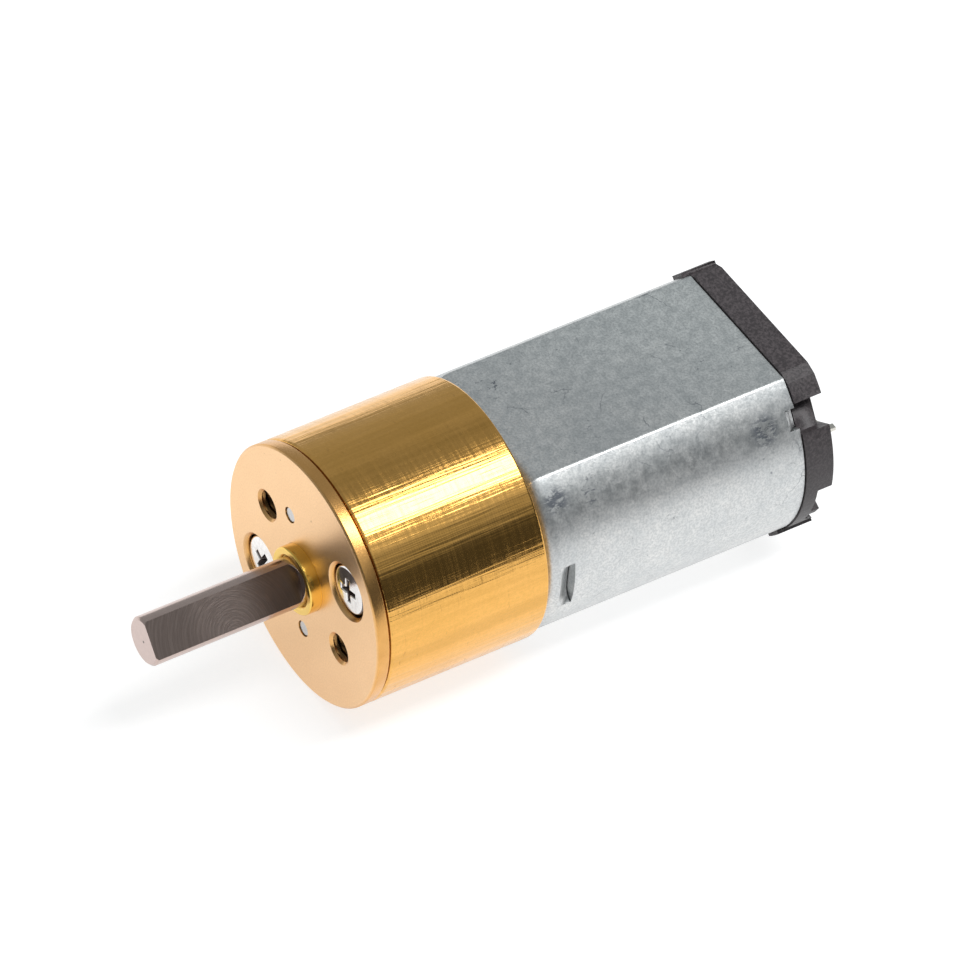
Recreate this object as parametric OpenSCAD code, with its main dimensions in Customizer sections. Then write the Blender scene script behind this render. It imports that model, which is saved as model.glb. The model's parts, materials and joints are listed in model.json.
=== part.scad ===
// Spur gearmotor: a flat-sided brushed DC motor behind a round brass gearbox with four gear pairs.
// Millimetres. Every piece is drawn with the output shaft along +Z and then laid down, so that in
// the finished part the shaft points to -Y, the motor's flats face up and down, and the origin is
// the centre of the gearbox's front face.

/* [Gearbox] */
// Outside diameter of the gearbox
gearbox_d = 16.0; // [15.6:0.1:19.4]
// Wall of the brass gearbox tube
housing_wall = 0.8; // [0.5:0.05:0.9]
// Front face to the gearbox's rear edge
gearbox_length = 11.5; // [11.3:0.1:16]
// Thickness of the front plate's visible rim
rim_t = 0.9; // [0.6:0.05:1.4]
// Length of the front plate's shoulder inside the tube
spigot_length = 1.3; // [0.8:0.05:1.4]
// Thickness of the rear plate
rear_plate_t = 1.0; // [0.8:0.05:1.2]
// Thickness of the middle plate
middle_plate_t = 0.6; // [0.4:0.05:0.65]
// Edge break on the turned brass edges
edge_break = 0.12; // [0.05:0.01:0.2]

/* [Front face] */
// Pitch circle diameter of the two tapped mounting holes
mount_pcd = 9.2; // [8.8:0.1:9.3]
// Angle of the first mounting hole, anticlockwise from +X seen from the front
mount_angle = 150.5; // [145:0.5:156]
// Core diameter of the M2 mounting holes
mount_core_d = 1.6; // [1.4:0.05:1.8]
// Pitch circle diameter of the two front plate screws
screw_pcd = 10.34; // [10.32:0.02:10.6]
// Angle of the first front plate screw
screw_angle = 30.5; // [25:0.5:36]
// Diameter of a screw counterbore
counterbore_d = 3.3; // [3.2:0.05:3.4]
// Width of the bevel round a screw counterbore
counterbore_bevel = 0.2; // [0.1:0.05:0.25]
// Depth of a screw counterbore
counterbore_depth = 0.75; // [0.5:0.05:0.9]
// Head diameter of a front plate screw
screw_head_d = 3.1; // [2.6:0.05:3.15]
// Head height of a front plate screw
screw_head_h = 0.64; // [0.4:0.02:0.7]
// Thread diameter of the front plate screws and the motor screws
screw_d = 1.6; // [1.2:0.1:1.6]

/* [Output shaft] */
// Diameter of the output shaft
shaft_d = 3.0; // [2.8:0.05:3.6]
// Front face to the shaft's tip
shaft_out = 10.55; // [6:0.05:14]
// Depth of the flat on the shaft
flat_depth = 0.55; // [0.3:0.05:0.6]
// Direction that the shaft's flat faces, anticlockwise from +X seen from the front
flat_angle = 41; // [0:1:90]
// Front face to the end of the flat, which can lie just inside the collar's mouth
flat_end = 0.64; // [0.64:0.02:3]
// Radius of the cutter that leaves the flat's rounded end
flat_cutter_r = 1.9; // [1.85:0.05:4]
// Wall of the bearing's collar around the shaft
collar_wall = 0.58; // [0.5:0.02:0.7]
// Height of the bearing's collar above the front face
collar_h = 0.75; // [0.6:0.05:1.2]
// Step on radius from the shaft down to the journal that runs in the bearing
journal_step = 0.2; // [0.15:0.05:0.3]

/* [Gears] */
// Gear module
gear_module = 0.25; // [0.24:0.002:0.254]
// Teeth of the motor pinion
motor_pinion_teeth = 10; // [10:1:10]
// Teeth of the pinions of the later pairs
pinion_teeth = 9; // [9:1:9]
// Angle of the first gear pin, anticlockwise from +X seen from the front
pin_angle_a = 115; // [105:1:125]
// Angle of the second gear pin
pin_angle_b = 274; // [268:1:280]
// Diameter of the gear pins
gear_pin_d = 1.0; // [0.8:0.05:1.1]
// Circumferential play cut into each gear
tooth_play = 0.025; // [0.015:0.005:0.04]
// Running clearance on radius for every turning fit
running_gap = 0.03; // [0.015:0.005:0.05]

/* [Motor] */
// Diameter over the can's round sides
can_d = 15.5; // [14.5:0.1:19]
// Thickness over the can's flats
can_flat = 12.0; // [11.8:0.1:14.4]
// Length of the can
can_length = 17.4; // [16.6:0.1:24]
// Wall of the steel can
can_wall = 0.8; // [0.6:0.05:0.85]
// Radius of the can's drawn front edge
can_edge_r = 1.0; // [0.4:0.1:1.2]
// Diameter of the motor shaft
motor_shaft_d = 1.5; // [1.3:0.05:1.6]
// Outside diameter of both motor bearings
motor_bearing_d = 3.5; // [3.2:0.05:3.8]
// Diameter of the armature
armature_d = 9.4; // [8.6:0.1:9.6]
// Radial air gap between the armature and the magnets
air_gap = 0.3; // [0.2:0.05:0.4]
// Length of the laminated core
core_length = 7.4; // [6:0.1:7.4]
// Diameter of the commutator
commutator_d = 3.8; // [3.4:0.1:4.2]

/* [End cap] */
// How far the cap stands out beyond the can, all round
cap_overhang = 0.1; // [0:0.02:0.2]
// Height of the cap's rear rim behind the can
cap_height = 1.85; // [1.6:0.05:2.4]
// How far the cap's floor sits below its rear rim
cap_recess = 0.85; // [0.6:0.05:0.95]
// Height of the terminals above the cap's rear rim
terminal_height = 1.15; // [0.6:0.05:3]

/* [Hidden] */
$fn = 64;

// radii
gearbox_r = gearbox_d / 2;
bore_r = gearbox_r - housing_wall;
shaft_r = shaft_d / 2;
band_r = shaft_r + 0.01;
journal_r = shaft_r - journal_step;
collar_r = shaft_r + collar_wall;
bush_r = collar_r - 0.2;
collar_sink = 0.1;
gear_seat_r = journal_r - 0.1;
thrust_r = 2.1;
tail_r = 0.6;
pin_r = gear_pin_d / 2;
spacer_r = pin_r + 0.27;
compound_seat_r = 0.8;
centre_seat_r = tail_r + 0.28;
screw_r = screw_d / 2;
head_r = screw_head_d / 2;
pillar_r = screw_r + 0.85;
pillar_step_r = screw_r + 0.5;
pillar_tenon_r = 0.9;
motor_shaft_r = motor_shaft_d / 2;
motor_bearing_r = motor_bearing_d / 2;
can_r = can_d / 2;
can_h = can_flat / 2;
can_in_r = can_r - can_wall;
can_in_h = can_h - can_wall;
cap_r = can_r + cap_overhang;
cap_h = can_h + cap_overhang;
armature_r = armature_d / 2;
magnet_in_r = armature_r + air_gap;
commutator_r = commutator_d / 2;
commutator_in_r = 1.35;
core_hub_r = 1.6;

// gear sizes
wheel_a_teeth = 21;
wheel_teeth = 22;
pressure_angle = 20;
profile_shift = 0.4;
addendum = 1;
dedendum = 1.25;
centre_distance = gear_module * (motor_pinion_teeth + wheel_a_teeth) / 2;
wheel_tip_r = gear_module * (wheel_teeth / 2 + addendum - profile_shift);

// levels along the shaft, front face at 0
spigot_end = -rim_t - spigot_length;
box_rear = -gearbox_length;
rear_plate_front = box_rear + rear_plate_t;
end_float = 0.05;
side_gap = 0.3;
level_gap = 0.2;
tooth_overlap = 0.1;
wheel_a_t = 0.8;
wheel_a_rear = rear_plate_front + side_gap;
wheel_a_front = wheel_a_rear + wheel_a_t;
middle_rear = wheel_a_front + side_gap;
middle_front = middle_rear + middle_plate_t;
wheel_t = 0.9;
centre_wheel_rear = middle_front + level_gap;
centre_wheel_front = centre_wheel_rear + wheel_t;
pinion_a_front = centre_wheel_front + tooth_overlap;
wheel_b_rear = centre_wheel_front + side_gap;
wheel_b_front = wheel_b_rear + wheel_t;
centre_pinion_front = wheel_b_front + tooth_overlap + end_float;
output_gear_rear = centre_pinion_front + level_gap;
output_gear_t = 1.5;
output_gear_front = output_gear_rear + output_gear_t;
pinion_b_front = output_gear_front + tooth_overlap;
bearing_inner_end = spigot_end - 0.3;
washer_t = 0.3;
washer_rear = bearing_inner_end - 0.03 - washer_t;
hub_front = washer_rear - end_float;
shoulder_depth = 0.17;
shoulder_z = collar_h - shoulder_depth;
tail_end = middle_rear + end_float;
motor_shaft_front = middle_rear - 0.12;
pin_recess = 0.2;
pillar_thread = 3.4;
screw_length = 2.6;

// motor levels
can_front = box_rear;
can_rear = can_front - can_length;
can_inside = can_front - can_wall;
can_boss_r = motor_bearing_r + 0.75;
can_boss_h = rear_plate_t - 0.1;
front_bearing_front = can_front + can_boss_h - 0.15;
front_bearing_rear = can_inside - 0.45;
magnet_front = can_front - 1.83;
magnet_length = 10.6;
magnet_rear = magnet_front - magnet_length;
core_front = can_inside - 3.0;
core_rear = core_front - core_length;
insulator_t = 0.3;
coil_end = 1.0;
sleeve_front = core_rear - insulator_t;
segment_front = sleeve_front - coil_end - 0.25;
segment_length = 2.1;
segment_rear = segment_front - segment_length;
cap_floor_front = can_rear + 0.3;
cap_rim_rear = can_rear - cap_height;
cap_floor_rear = cap_rim_rear + cap_recess;
cap_step_rear = cap_rim_rear + 0.95;
plug_length = 2.4;
cap_boss_r = motor_bearing_r + 1.1;
rear_bearing_front = cap_floor_front + 0.6;
rear_bearing_rear = cap_rim_rear + 0.2;
motor_shaft_rear = cap_rim_rear + 0.35;
terminal_tip = cap_rim_rear - terminal_height;

// corner break of the flat-sided outlines, and the two screws into the can's front wall
corner_slope = 0.364;
corner_width = 0.42;
motor_screw_radius = 5.2;
motor_screw_angle = 158;

// lamination, magnets and rotor washers
pole_head_t = 0.85;
pole_web = 2.0;
pole_slot = 0.9;
magnet_half_h = 4.1;
washer_r = 1.5;
rotor_washer_t = 0.4;

// the can's windows and crimps
window_h = 3.2;
window_offset = -0.45;
window_front = can_front - 0.9;
window_rear = can_front - 1.85;
crimp_angle = 32.8;
crimp_width = 1.15;
crimp_length = 0.65;
crimp_push = 0.5;

// terminals and brushes
terminal_x = 4.9;
terminal_width = 1.3;
terminal_t = 0.25;
terminal_y = 1.55;
brush_x = commutator_r + 0.03;
brush_z = (segment_front + segment_rear) / 2;
brush_width = 1.3;

// ---------- helpers ----------

// lays a piece down, so that its +Z becomes -Y and its +Y becomes +Z
module laid() {
  rotate([90, 0, 0]) children();
}

// a cylinder between two levels
module rod(r, from, to) {
  translate([0, 0, min(from, to)]) cylinder(r = r, h = abs(to - from));
}

// a tube between two levels
module tube(r_out, r_in, from, to) {
  difference() {
    rod(r_out, from, to);
    rod(r_in, from - 1, to + 1);
  }
}

// moves to a place on a circle
module at_polar(radius, angle) {
  translate([radius * cos(angle), radius * sin(angle), 0]) children();
}

// a turned ring or disc with both outer edges broken
module turned(r, rear, front, chamfer) {
  rotate_extrude()
    polygon([[0, rear], [r - chamfer, rear], [r, rear + chamfer], [r, front - chamfer],
      [r - chamfer, front], [0, front]]);
}

// flat-sided outline: a circle cut by two flats, with the four corners eased
module flat_sided(r, h) {
  corner = sqrt(r * r - h * h) - corner_width;
  side = h - (r - corner) * corner_slope;
  intersection() {
    circle(r = r);
    polygon([[-corner, h], [corner, h], [r, side], [r, -side], [corner, -h], [-corner, -h],
      [-r, -side], [-r, side]]);
  }
}

module flat_sided_block(r, h, from, to) {
  translate([0, 0, min(from, to)]) linear_extrude(abs(to - from)) flat_sided(r, h);
}

// ---------- gear teeth ----------

function rad(a) = a * PI / 180;
function deg(a) = a * 180 / PI;
function involute(a) = tan(a) - rad(a);
function base_r(teeth) = gear_module * teeth / 2 * cos(pressure_angle);
function pitch_half(teeth, shift) = deg((PI / 2 + 2 * shift * tan(pressure_angle)) / teeth
  + involute(pressure_angle) - tooth_play / (gear_module * teeth));
function half_angle(teeth, shift, r) = pitch_half(teeth, shift)
  - deg(involute(acos(min(1, base_r(teeth) / r))));
function tip_r(teeth, shift) = gear_module * (teeth / 2 + addendum + shift);
function root_r(teeth, shift) = gear_module * (teeth / 2 - dedendum + shift);
function polar(r, a) = [r * cos(a), r * sin(a)];

// radii down one flank, tip first
function flank_radii(teeth, shift) =
  let (low = max(base_r(teeth), root_r(teeth, shift)), high = tip_r(teeth, shift))
  [high, low + (high - low) * 0.55, low + (high - low) * 0.18, low];

// one tooth's points, anticlockwise, around the angle a
function tooth(teeth, shift, a) =
  let (radii = flank_radii(teeth, shift), n = len(radii))
  let (foot = half_angle(teeth, shift, radii[n - 1]) * 0.96)
  concat(
    [polar(root_r(teeth, shift), a - foot)],
    [for (i = [n - 1:-1:0]) polar(radii[i], a - half_angle(teeth, shift, radii[i]))],
    [for (i = [0:n - 1]) polar(radii[i], a + half_angle(teeth, shift, radii[i]))],
    [polar(root_r(teeth, shift), a + foot)]);

function gear_points(teeth, shift, phase) =
  [for (t = [0:teeth - 1]) each tooth(teeth, shift, phase + t * 360 / teeth)];

module gear(teeth, shift, phase, rear, front) {
  translate([0, 0, rear]) linear_extrude(front - rear) polygon(gear_points(teeth, shift, phase));
}

// phase of a driven gear, so that its gap faces the tooth of the gear at the given direction
function meshed(teeth, direction) = direction + 180 + 180 / teeth;

// ---------- gearbox: fixed pieces ----------

module front_plate() {
  mouth = 0.22;
  through = 1;
  color("peru") laid() difference() {
    union() {
      turned(gearbox_r, -rim_t, 0, edge_break);
      rod(bore_r, spigot_end, -rim_t / 2);
    }
    rod(bush_r, spigot_end - through, through);
    rod(collar_r, -collar_sink, through);
    for (i = [0, 1]) {
      at_polar(mount_pcd / 2, mount_angle + i * 180) {
        rod(mount_core_d / 2, spigot_end - through, through);
        translate([0, 0, -mouth])
          cylinder(r1 = mount_core_d / 2, r2 = mount_core_d / 2 + 2 * mouth, h = 2 * mouth);
      }
      at_polar(screw_pcd / 2, screw_angle + i * 180) {
        rod(screw_r + 0.05, spigot_end - through, through);
        rod(counterbore_d / 2, -counterbore_depth, through);
        translate([0, 0, -counterbore_bevel])
          cylinder(r1 = counterbore_d / 2, r2 = counterbore_d / 2 + 2 * counterbore_bevel,
            h = 2 * counterbore_bevel);
      }
    }
    for (a = [pin_angle_a, pin_angle_b]) at_polar(centre_distance, a)
      rod(pin_r, spigot_end - through, through);
  }
}

module output_bearing() {
  mouth = 0.15;
  edge = 0.06;
  color("goldenrod") laid() difference() {
    union() {
      turned(collar_r, -collar_sink, collar_h, edge);
      rod(bush_r, bearing_inner_end, collar_h / 2);
    }
    rod(journal_r + running_gap, bearing_inner_end - 1, collar_h + 1);
    rod(band_r + running_gap, shoulder_z - 0.02, collar_h + 1);
    translate([0, 0, collar_h - mouth])
      cylinder(r1 = band_r + running_gap, r2 = band_r + running_gap + 2 * mouth, h = 2 * mouth);
  }
}

module gearbox_housing() {
  color("gold") laid() difference() {
    turned(gearbox_r, box_rear, -rim_t, edge_break);
    rod(bore_r, box_rear - 1, 0);
  }
}

module middle_plate() {
  color("tan") laid() difference() {
    rod(bore_r - 0.02, middle_rear, middle_front);
    rod(tail_r + running_gap, middle_rear - 1, middle_front + 1);
    at_polar(centre_distance, pin_angle_a)
      rod(tip_r(pinion_teeth, profile_shift) + 0.15, middle_rear - 1, middle_front + 1);
    at_polar(centre_distance, pin_angle_b) rod(pin_r, middle_rear - 1, middle_front + 1);
    for (i = [0, 1]) at_polar(screw_pcd / 2, screw_angle + i * 180)
      rod(pillar_step_r, middle_rear - 1, middle_front + 1);
  }
}

module rear_plate() {
  color("tan") laid() difference() {
    rod(bore_r, box_rear, rear_plate_front);
    rod(can_boss_r + 0.02, box_rear - 1, rear_plate_front + 1);
    for (a = [pin_angle_a, pin_angle_b]) at_polar(centre_distance, a)
      rod(pin_r, box_rear - 1, rear_plate_front + 1);
    for (i = [0, 1]) {
      at_polar(motor_screw_radius, motor_screw_angle + i * 180) motor_screw_shape(0.04);
      at_polar(screw_pcd / 2, screw_angle + i * 180)
        rod(pillar_tenon_r, box_rear - 1, rear_plate_front + 1);
    }
  }
}

module pillars() {
  color("khaki") laid() for (i = [0, 1]) at_polar(screw_pcd / 2, screw_angle + i * 180) difference() {
    union() {
      rod(pillar_step_r, middle_rear, spigot_end);
      rod(pillar_r, rear_plate_front, middle_rear);
      rod(pillar_tenon_r, box_rear + 0.1, rear_plate_front + 0.1);
    }
    rod(screw_r, spigot_end - pillar_thread, spigot_end + 1);
  }
}

module front_screws() {
  head_base = -counterbore_depth;
  head_break = 0.14;
  color("silver") laid() for (i = [0, 1]) at_polar(screw_pcd / 2, screw_angle + i * 180) {
    rod(screw_r, spigot_end - screw_length, head_base + 0.1);
    rotate_extrude() polygon([[0, head_base], [head_r, head_base],
      [head_r, head_base + screw_head_h - 2 * head_break],
      [head_r - head_break, head_base + screw_head_h - 0.4 * head_break],
      [head_r - 3 * head_break, head_base + screw_head_h], [0, head_base + screw_head_h]]);
  }
}

// a countersunk screw from inside the gearbox into the can's front wall
module motor_screw_shape(gap) {
  sink = 0.55;
  top = rear_plate_front - 0.05;
  rod(screw_r + gap, can_inside - 0.3, top - sink / 2);
  translate([0, 0, top - sink]) cylinder(r1 = screw_r + gap, r2 = screw_r + gap + sink, h = sink);
  if (gap > 0) rod(screw_r + gap + sink, top, top + 1);
}

module motor_screws() {
  color("dimgray") laid() for (i = [0, 1])
    at_polar(motor_screw_radius, motor_screw_angle + i * 180) motor_screw_shape(0);
}

module gear_pins() {
  color("lightgray") laid() for (a = [pin_angle_a, pin_angle_b])
    at_polar(centre_distance, a) rod(pin_r, box_rear + 0.05, -pin_recess);
}

module spacer_a() {
  color("khaki") laid() at_polar(centre_distance, pin_angle_a)
    tube(spacer_r, pin_r, pinion_a_front + end_float, spigot_end);
}

module spacer_b_front() {
  color("khaki") laid() at_polar(centre_distance, pin_angle_b)
    tube(spacer_r, pin_r, pinion_b_front + end_float, spigot_end);
}

module spacer_b_rear() {
  color("khaki") laid() at_polar(centre_distance, pin_angle_b)
    tube(spacer_r, pin_r, middle_front, wheel_b_rear - end_float);
}

// ---------- gearbox: moving pieces ----------

module output_shaft() {
  tip_break = 0.14;
  flat_r = shaft_r - flat_depth;
  arc_centre = flat_end + flat_cutter_r;
  half_width = sqrt(band_r * band_r - flat_r * flat_r);
  band_end = arc_centre - sqrt(flat_cutter_r * flat_cutter_r - half_width * half_width) + 0.03;
  color("dimgray") laid() difference() {
    rotate_extrude() polygon([[0, tail_end], [tail_r, tail_end], [tail_r, output_gear_rear],
      [gear_seat_r, output_gear_rear], [gear_seat_r, hub_front], [journal_r, hub_front],
      [journal_r, shoulder_z], [band_r, shoulder_z], [band_r, flat_end], [shaft_r, band_end],
      [shaft_r, shaft_out - tip_break],
      [shaft_r - tip_break, shaft_out], [0, shaft_out]]);
    rotate([0, 0, flat_angle]) {
      translate([flat_r, -shaft_d, arc_centre]) cube([shaft_d, 2 * shaft_d, shaft_out]);
      translate([flat_r, 0, arc_centre]) rotate([0, 90, 0]) cylinder(r = flat_cutter_r, h = shaft_d);
    }
  }
}

module output_gear() {
  color("khaki") laid() difference() {
    union() {
      gear(wheel_teeth, -profile_shift, pin_angle_b, output_gear_rear, output_gear_front);
      rod(thrust_r, output_gear_front - 0.1, hub_front);
    }
    rod(gear_seat_r, output_gear_rear - 1, 0);
  }
}

module thrust_washer() {
  color("silver") laid()
    tube(thrust_r, journal_r + running_gap, washer_rear, washer_rear + washer_t);
}

module wheel_b() {
  color("khaki") laid() at_polar(centre_distance, pin_angle_b) difference() {
    gear(wheel_teeth, -profile_shift, meshed(wheel_teeth, pin_angle_b), wheel_b_rear, wheel_b_front);
    rod(compound_seat_r, wheel_b_rear - 1, wheel_b_front + 1);
  }
}

// a steel pinion whose smooth rear end carries the pressed-on brass wheel
module seated_pinion(phase, seat_rear, teeth_rear, front) {
  difference() {
    union() {
      gear(pinion_teeth, profile_shift, phase, teeth_rear, front);
      rod(compound_seat_r, seat_rear, teeth_rear + 0.1);
    }
    rod(pin_r + running_gap, seat_rear - 1, front + 1);
  }
}

module pinion_b() {
  color("gray") laid() at_polar(centre_distance, pin_angle_b)
    seated_pinion(meshed(pinion_teeth, pin_angle_b), wheel_b_rear, wheel_b_front, pinion_b_front);
}

module centre_wheel() {
  color("khaki") laid() difference() {
    gear(wheel_teeth, -profile_shift, pin_angle_a, centre_wheel_rear, centre_wheel_front);
    rod(centre_seat_r, centre_wheel_rear - 1, centre_wheel_front + 1);
  }
}

module centre_pinion() {
  color("gray") laid() difference() {
    union() {
      gear(pinion_teeth, profile_shift, pin_angle_b, centre_wheel_front, centre_pinion_front);
      rod(centre_seat_r, centre_wheel_rear, centre_wheel_front + 0.1);
    }
    rod(tail_r + running_gap, centre_wheel_rear - 1, centre_pinion_front + 1);
  }
}

module wheel_a() {
  color("khaki") laid() at_polar(centre_distance, pin_angle_a) difference() {
    gear(wheel_a_teeth, -profile_shift, meshed(wheel_a_teeth, pin_angle_a),
      wheel_a_rear, wheel_a_front);
    rod(compound_seat_r, wheel_a_rear - 1, wheel_a_front + 1);
  }
}

module pinion_a() {
  color("gray") laid() at_polar(centre_distance, pin_angle_a)
    seated_pinion(meshed(pinion_teeth, pin_angle_a), wheel_a_rear, wheel_a_front, pinion_a_front);
}

module motor_pinion() {
  color("gold") laid() difference() {
    gear(motor_pinion_teeth, profile_shift, pin_angle_a,
      wheel_a_rear - tooth_overlap, motor_shaft_front - end_float);
    rod(motor_shaft_r, box_rear, 0);
  }
}

// ---------- motor: rotor ----------

module motor_shaft() {
  tip_break = 0.12;
  color("lightgray") laid() turned(motor_shaft_r, motor_shaft_rear, motor_shaft_front, tip_break);
}

// three-pole lamination outline, one pole upwards
module lamination(reduce) {
  difference() {
    union() {
      difference() {
        circle(r = armature_r - reduce);
        circle(r = armature_r - pole_head_t);
        for (a = [30, 150, 270]) rotate(a) translate([0, -pole_slot / 2 - reduce])
          square([armature_r + 1, pole_slot + 2 * reduce]);
      }
      circle(r = core_hub_r);
      for (a = [90, 210, 330]) rotate(a) translate([0, -pole_web / 2])
        square([armature_r - pole_head_t + 0.1, pole_web]);
    }
    circle(r = motor_shaft_r);
  }
}

module armature_core() {
  color("slategray") laid() translate([0, 0, core_rear]) linear_extrude(core_length) lamination(0);
}

module armature_insulators() {
  color("ivory") laid() for (z = [core_front, core_rear - insulator_t])
    translate([0, 0, z]) linear_extrude(insulator_t) lamination(0.25);
}

// one coil around each pole's web, with its ends folded over the insulators
module windings() {
  coil_half = 2.15;
  coil_in = core_hub_r + 0.1;
  coil_out_r = armature_r - pole_head_t - 0.08;
  front = core_front + insulator_t;
  rear = core_rear - insulator_t;
  color("chocolate") laid() for (a = [90, 210, 330]) rotate([0, 0, a]) intersection() {
    rod(coil_out_r, rear - coil_end, front + coil_end);
    difference() {
      translate([coil_in, -coil_half, rear - coil_end])
        cube([coil_out_r, 2 * coil_half, front - rear + 2 * coil_end]);
      translate([0, -pole_web / 2, rear]) cube([coil_out_r + 1, pole_web, front - rear]);
    }
  }
}

module commutator_sleeve() {
  flange_t = 0.2;
  color("darkslategray") laid() difference() {
    union() {
      rod(commutator_in_r, segment_rear, sleeve_front);
      rod(commutator_r + 0.2, segment_front, segment_front + flange_t);
    }
    rod(motor_shaft_r, segment_rear - 1, sleeve_front + 1);
  }
}

module commutator_segments() {
  slit = 0.3;
  color("darkorange") laid() difference() {
    tube(commutator_r, commutator_in_r, segment_rear, segment_front);
    for (a = [30, 150, 270]) rotate([0, 0, a]) translate([0, -slit / 2, segment_rear - 1])
      cube([commutator_r + 1, slit, segment_length + 2]);
  }
}

module rotor_washers() {
  front_z = front_bearing_rear - 0.05 - rotor_washer_t;
  rear_z = rear_bearing_front + 0.05;
  color("white") laid() for (z = [front_z, rear_z]) tube(washer_r, motor_shaft_r, z, z + rotor_washer_t);
}

// ---------- motor: fixed pieces ----------

// the can's lanced magnet stop: a tongue bent inwards from the window's front edge, so that its
// free end meets the magnet
module magnet_stop() {
  bent_in = 0.65;
  bend = 0.12;
  slit = 0.05;
  root = can_r - 0.2;
  inner = can_in_r - bend;
  translate([0, window_offset - window_h / 2 + slit, 0]) rotate([90, 0, 0]) mirror([0, 0, 1])
    linear_extrude(window_h - 2 * slit)
      polygon([[root, window_front + bend], [root, window_front - bend],
        [can_r - bent_in, window_rear + slit], [can_in_r - bent_in, window_rear + slit],
        [inner, window_front + bend]]);
}

// the can's rear edge pressed into the end cap
module crimp() {
  rotate([0, 0, crimp_angle]) translate([0, crimp_width / 2, 0]) rotate([90, 0, 0])
    linear_extrude(crimp_width)
      polygon([[can_r - 0.1, can_rear + crimp_length + 0.05],
        [can_in_r + 0.1, can_rear + crimp_length + 0.05],
        [can_in_r + 0.3 - crimp_push, can_rear + 0.02],
        [can_r - 0.05 - crimp_push, can_rear + 0.02]]);
}

module motor_can() {
  notch_gap = 0.06;
  color("lightsteelblue") laid() {
    difference() {
      union() {
        intersection() {
          flat_sided_block(can_r, can_h, can_rear, can_front);
          rotate_extrude() union() {
            square_level(can_r, can_rear, can_front - can_edge_r);
            square_level(can_r - can_edge_r, can_rear, can_front);
            translate([can_r - can_edge_r, can_front - can_edge_r]) circle(r = can_edge_r);
          }
          rotate([90, 0, 90]) translate([0, 0, -can_r]) linear_extrude(can_d) polygon([
            [-can_h, can_rear], [can_h, can_rear], [can_h, can_front - can_edge_r],
            [can_h - can_edge_r * 0.13, can_front - can_edge_r * 0.5],
            [can_h - can_edge_r * 0.5, can_front - can_edge_r * 0.13],
            [can_h - can_edge_r, can_front], [-can_h + can_edge_r, can_front],
            [-can_h + can_edge_r * 0.5, can_front - can_edge_r * 0.13],
            [-can_h + can_edge_r * 0.13, can_front - can_edge_r * 0.5],
            [-can_h, can_front - can_edge_r]]);
        }
        rod(can_boss_r, can_front - 0.1, can_front + can_boss_h);
      }
      flat_sided_block(can_in_r, can_in_h, can_rear - 1, can_inside);
      rod(motor_bearing_r, can_inside - 1, can_front + can_boss_h - 0.15);
      rod(motor_shaft_r + 0.25, can_inside - 1, can_front + can_boss_h + 1);
      for (i = [0, 1]) {
        at_polar(motor_screw_radius, motor_screw_angle + i * 180)
          rod(screw_r, can_inside - 1, can_front + 1);
        rotate([0, 0, i * 180]) {
          translate([can_in_r - 1.2, window_offset - window_h / 2, window_rear])
            cube([3, window_h, window_front - window_rear]);
          rotate([0, 0, crimp_angle])
            translate([can_in_r - 0.5, -crimp_width / 2 - notch_gap, can_rear - 1])
            cube([2, crimp_width + 2 * notch_gap, crimp_length + 1]);
        }
      }
    }
    for (i = [0, 1]) rotate([0, 0, i * 180]) {
      magnet_stop();
      crimp();
    }
  }
}

module square_level(r, from, to) {
  square_from(0, r, from, to);
}

module square_from(in_r, out_r, from, to) {
  translate([in_r, from]) square([out_r - in_r, to - from]);
}

module front_motor_bearing() {
  color("saddlebrown") laid()
    tube(motor_bearing_r, motor_shaft_r + running_gap, front_bearing_rear, front_bearing_front);
}

module magnet(side) {
  color("darkslategray") laid() intersection() {
    difference() {
      rod(can_in_r, magnet_rear, magnet_front);
      rod(magnet_in_r, magnet_rear - 1, magnet_front + 1);
    }
    translate([side > 0 ? 0 : -can_r, -magnet_half_h, magnet_rear - 1])
      cube([can_r, 2 * magnet_half_h, magnet_length + 2]);
  }
}

module magnet_left() {
  magnet(-1);
}

module magnet_right() {
  magnet(1);
}

// a sprung strip that holds the two magnets apart under the can's top flat
module magnet_clip() {
  strip = 0.22;
  half = sqrt(can_in_r * can_in_r - can_in_h * can_in_h) - corner_width - 0.1;
  leg = half - 0.45;
  color("gainsboro") laid() translate([0, 0, magnet_rear + 1]) linear_extrude(magnet_length - 2)
    polygon([[-half, can_in_h], [-half, can_in_h - strip], [-leg - strip, magnet_half_h],
      [-leg, magnet_half_h], [-half + 1.6 * strip, can_in_h - strip],
      [half - 1.6 * strip, can_in_h - strip], [leg, magnet_half_h], [leg + strip, magnet_half_h],
      [half, can_in_h - strip], [half, can_in_h]]);
}

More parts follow.
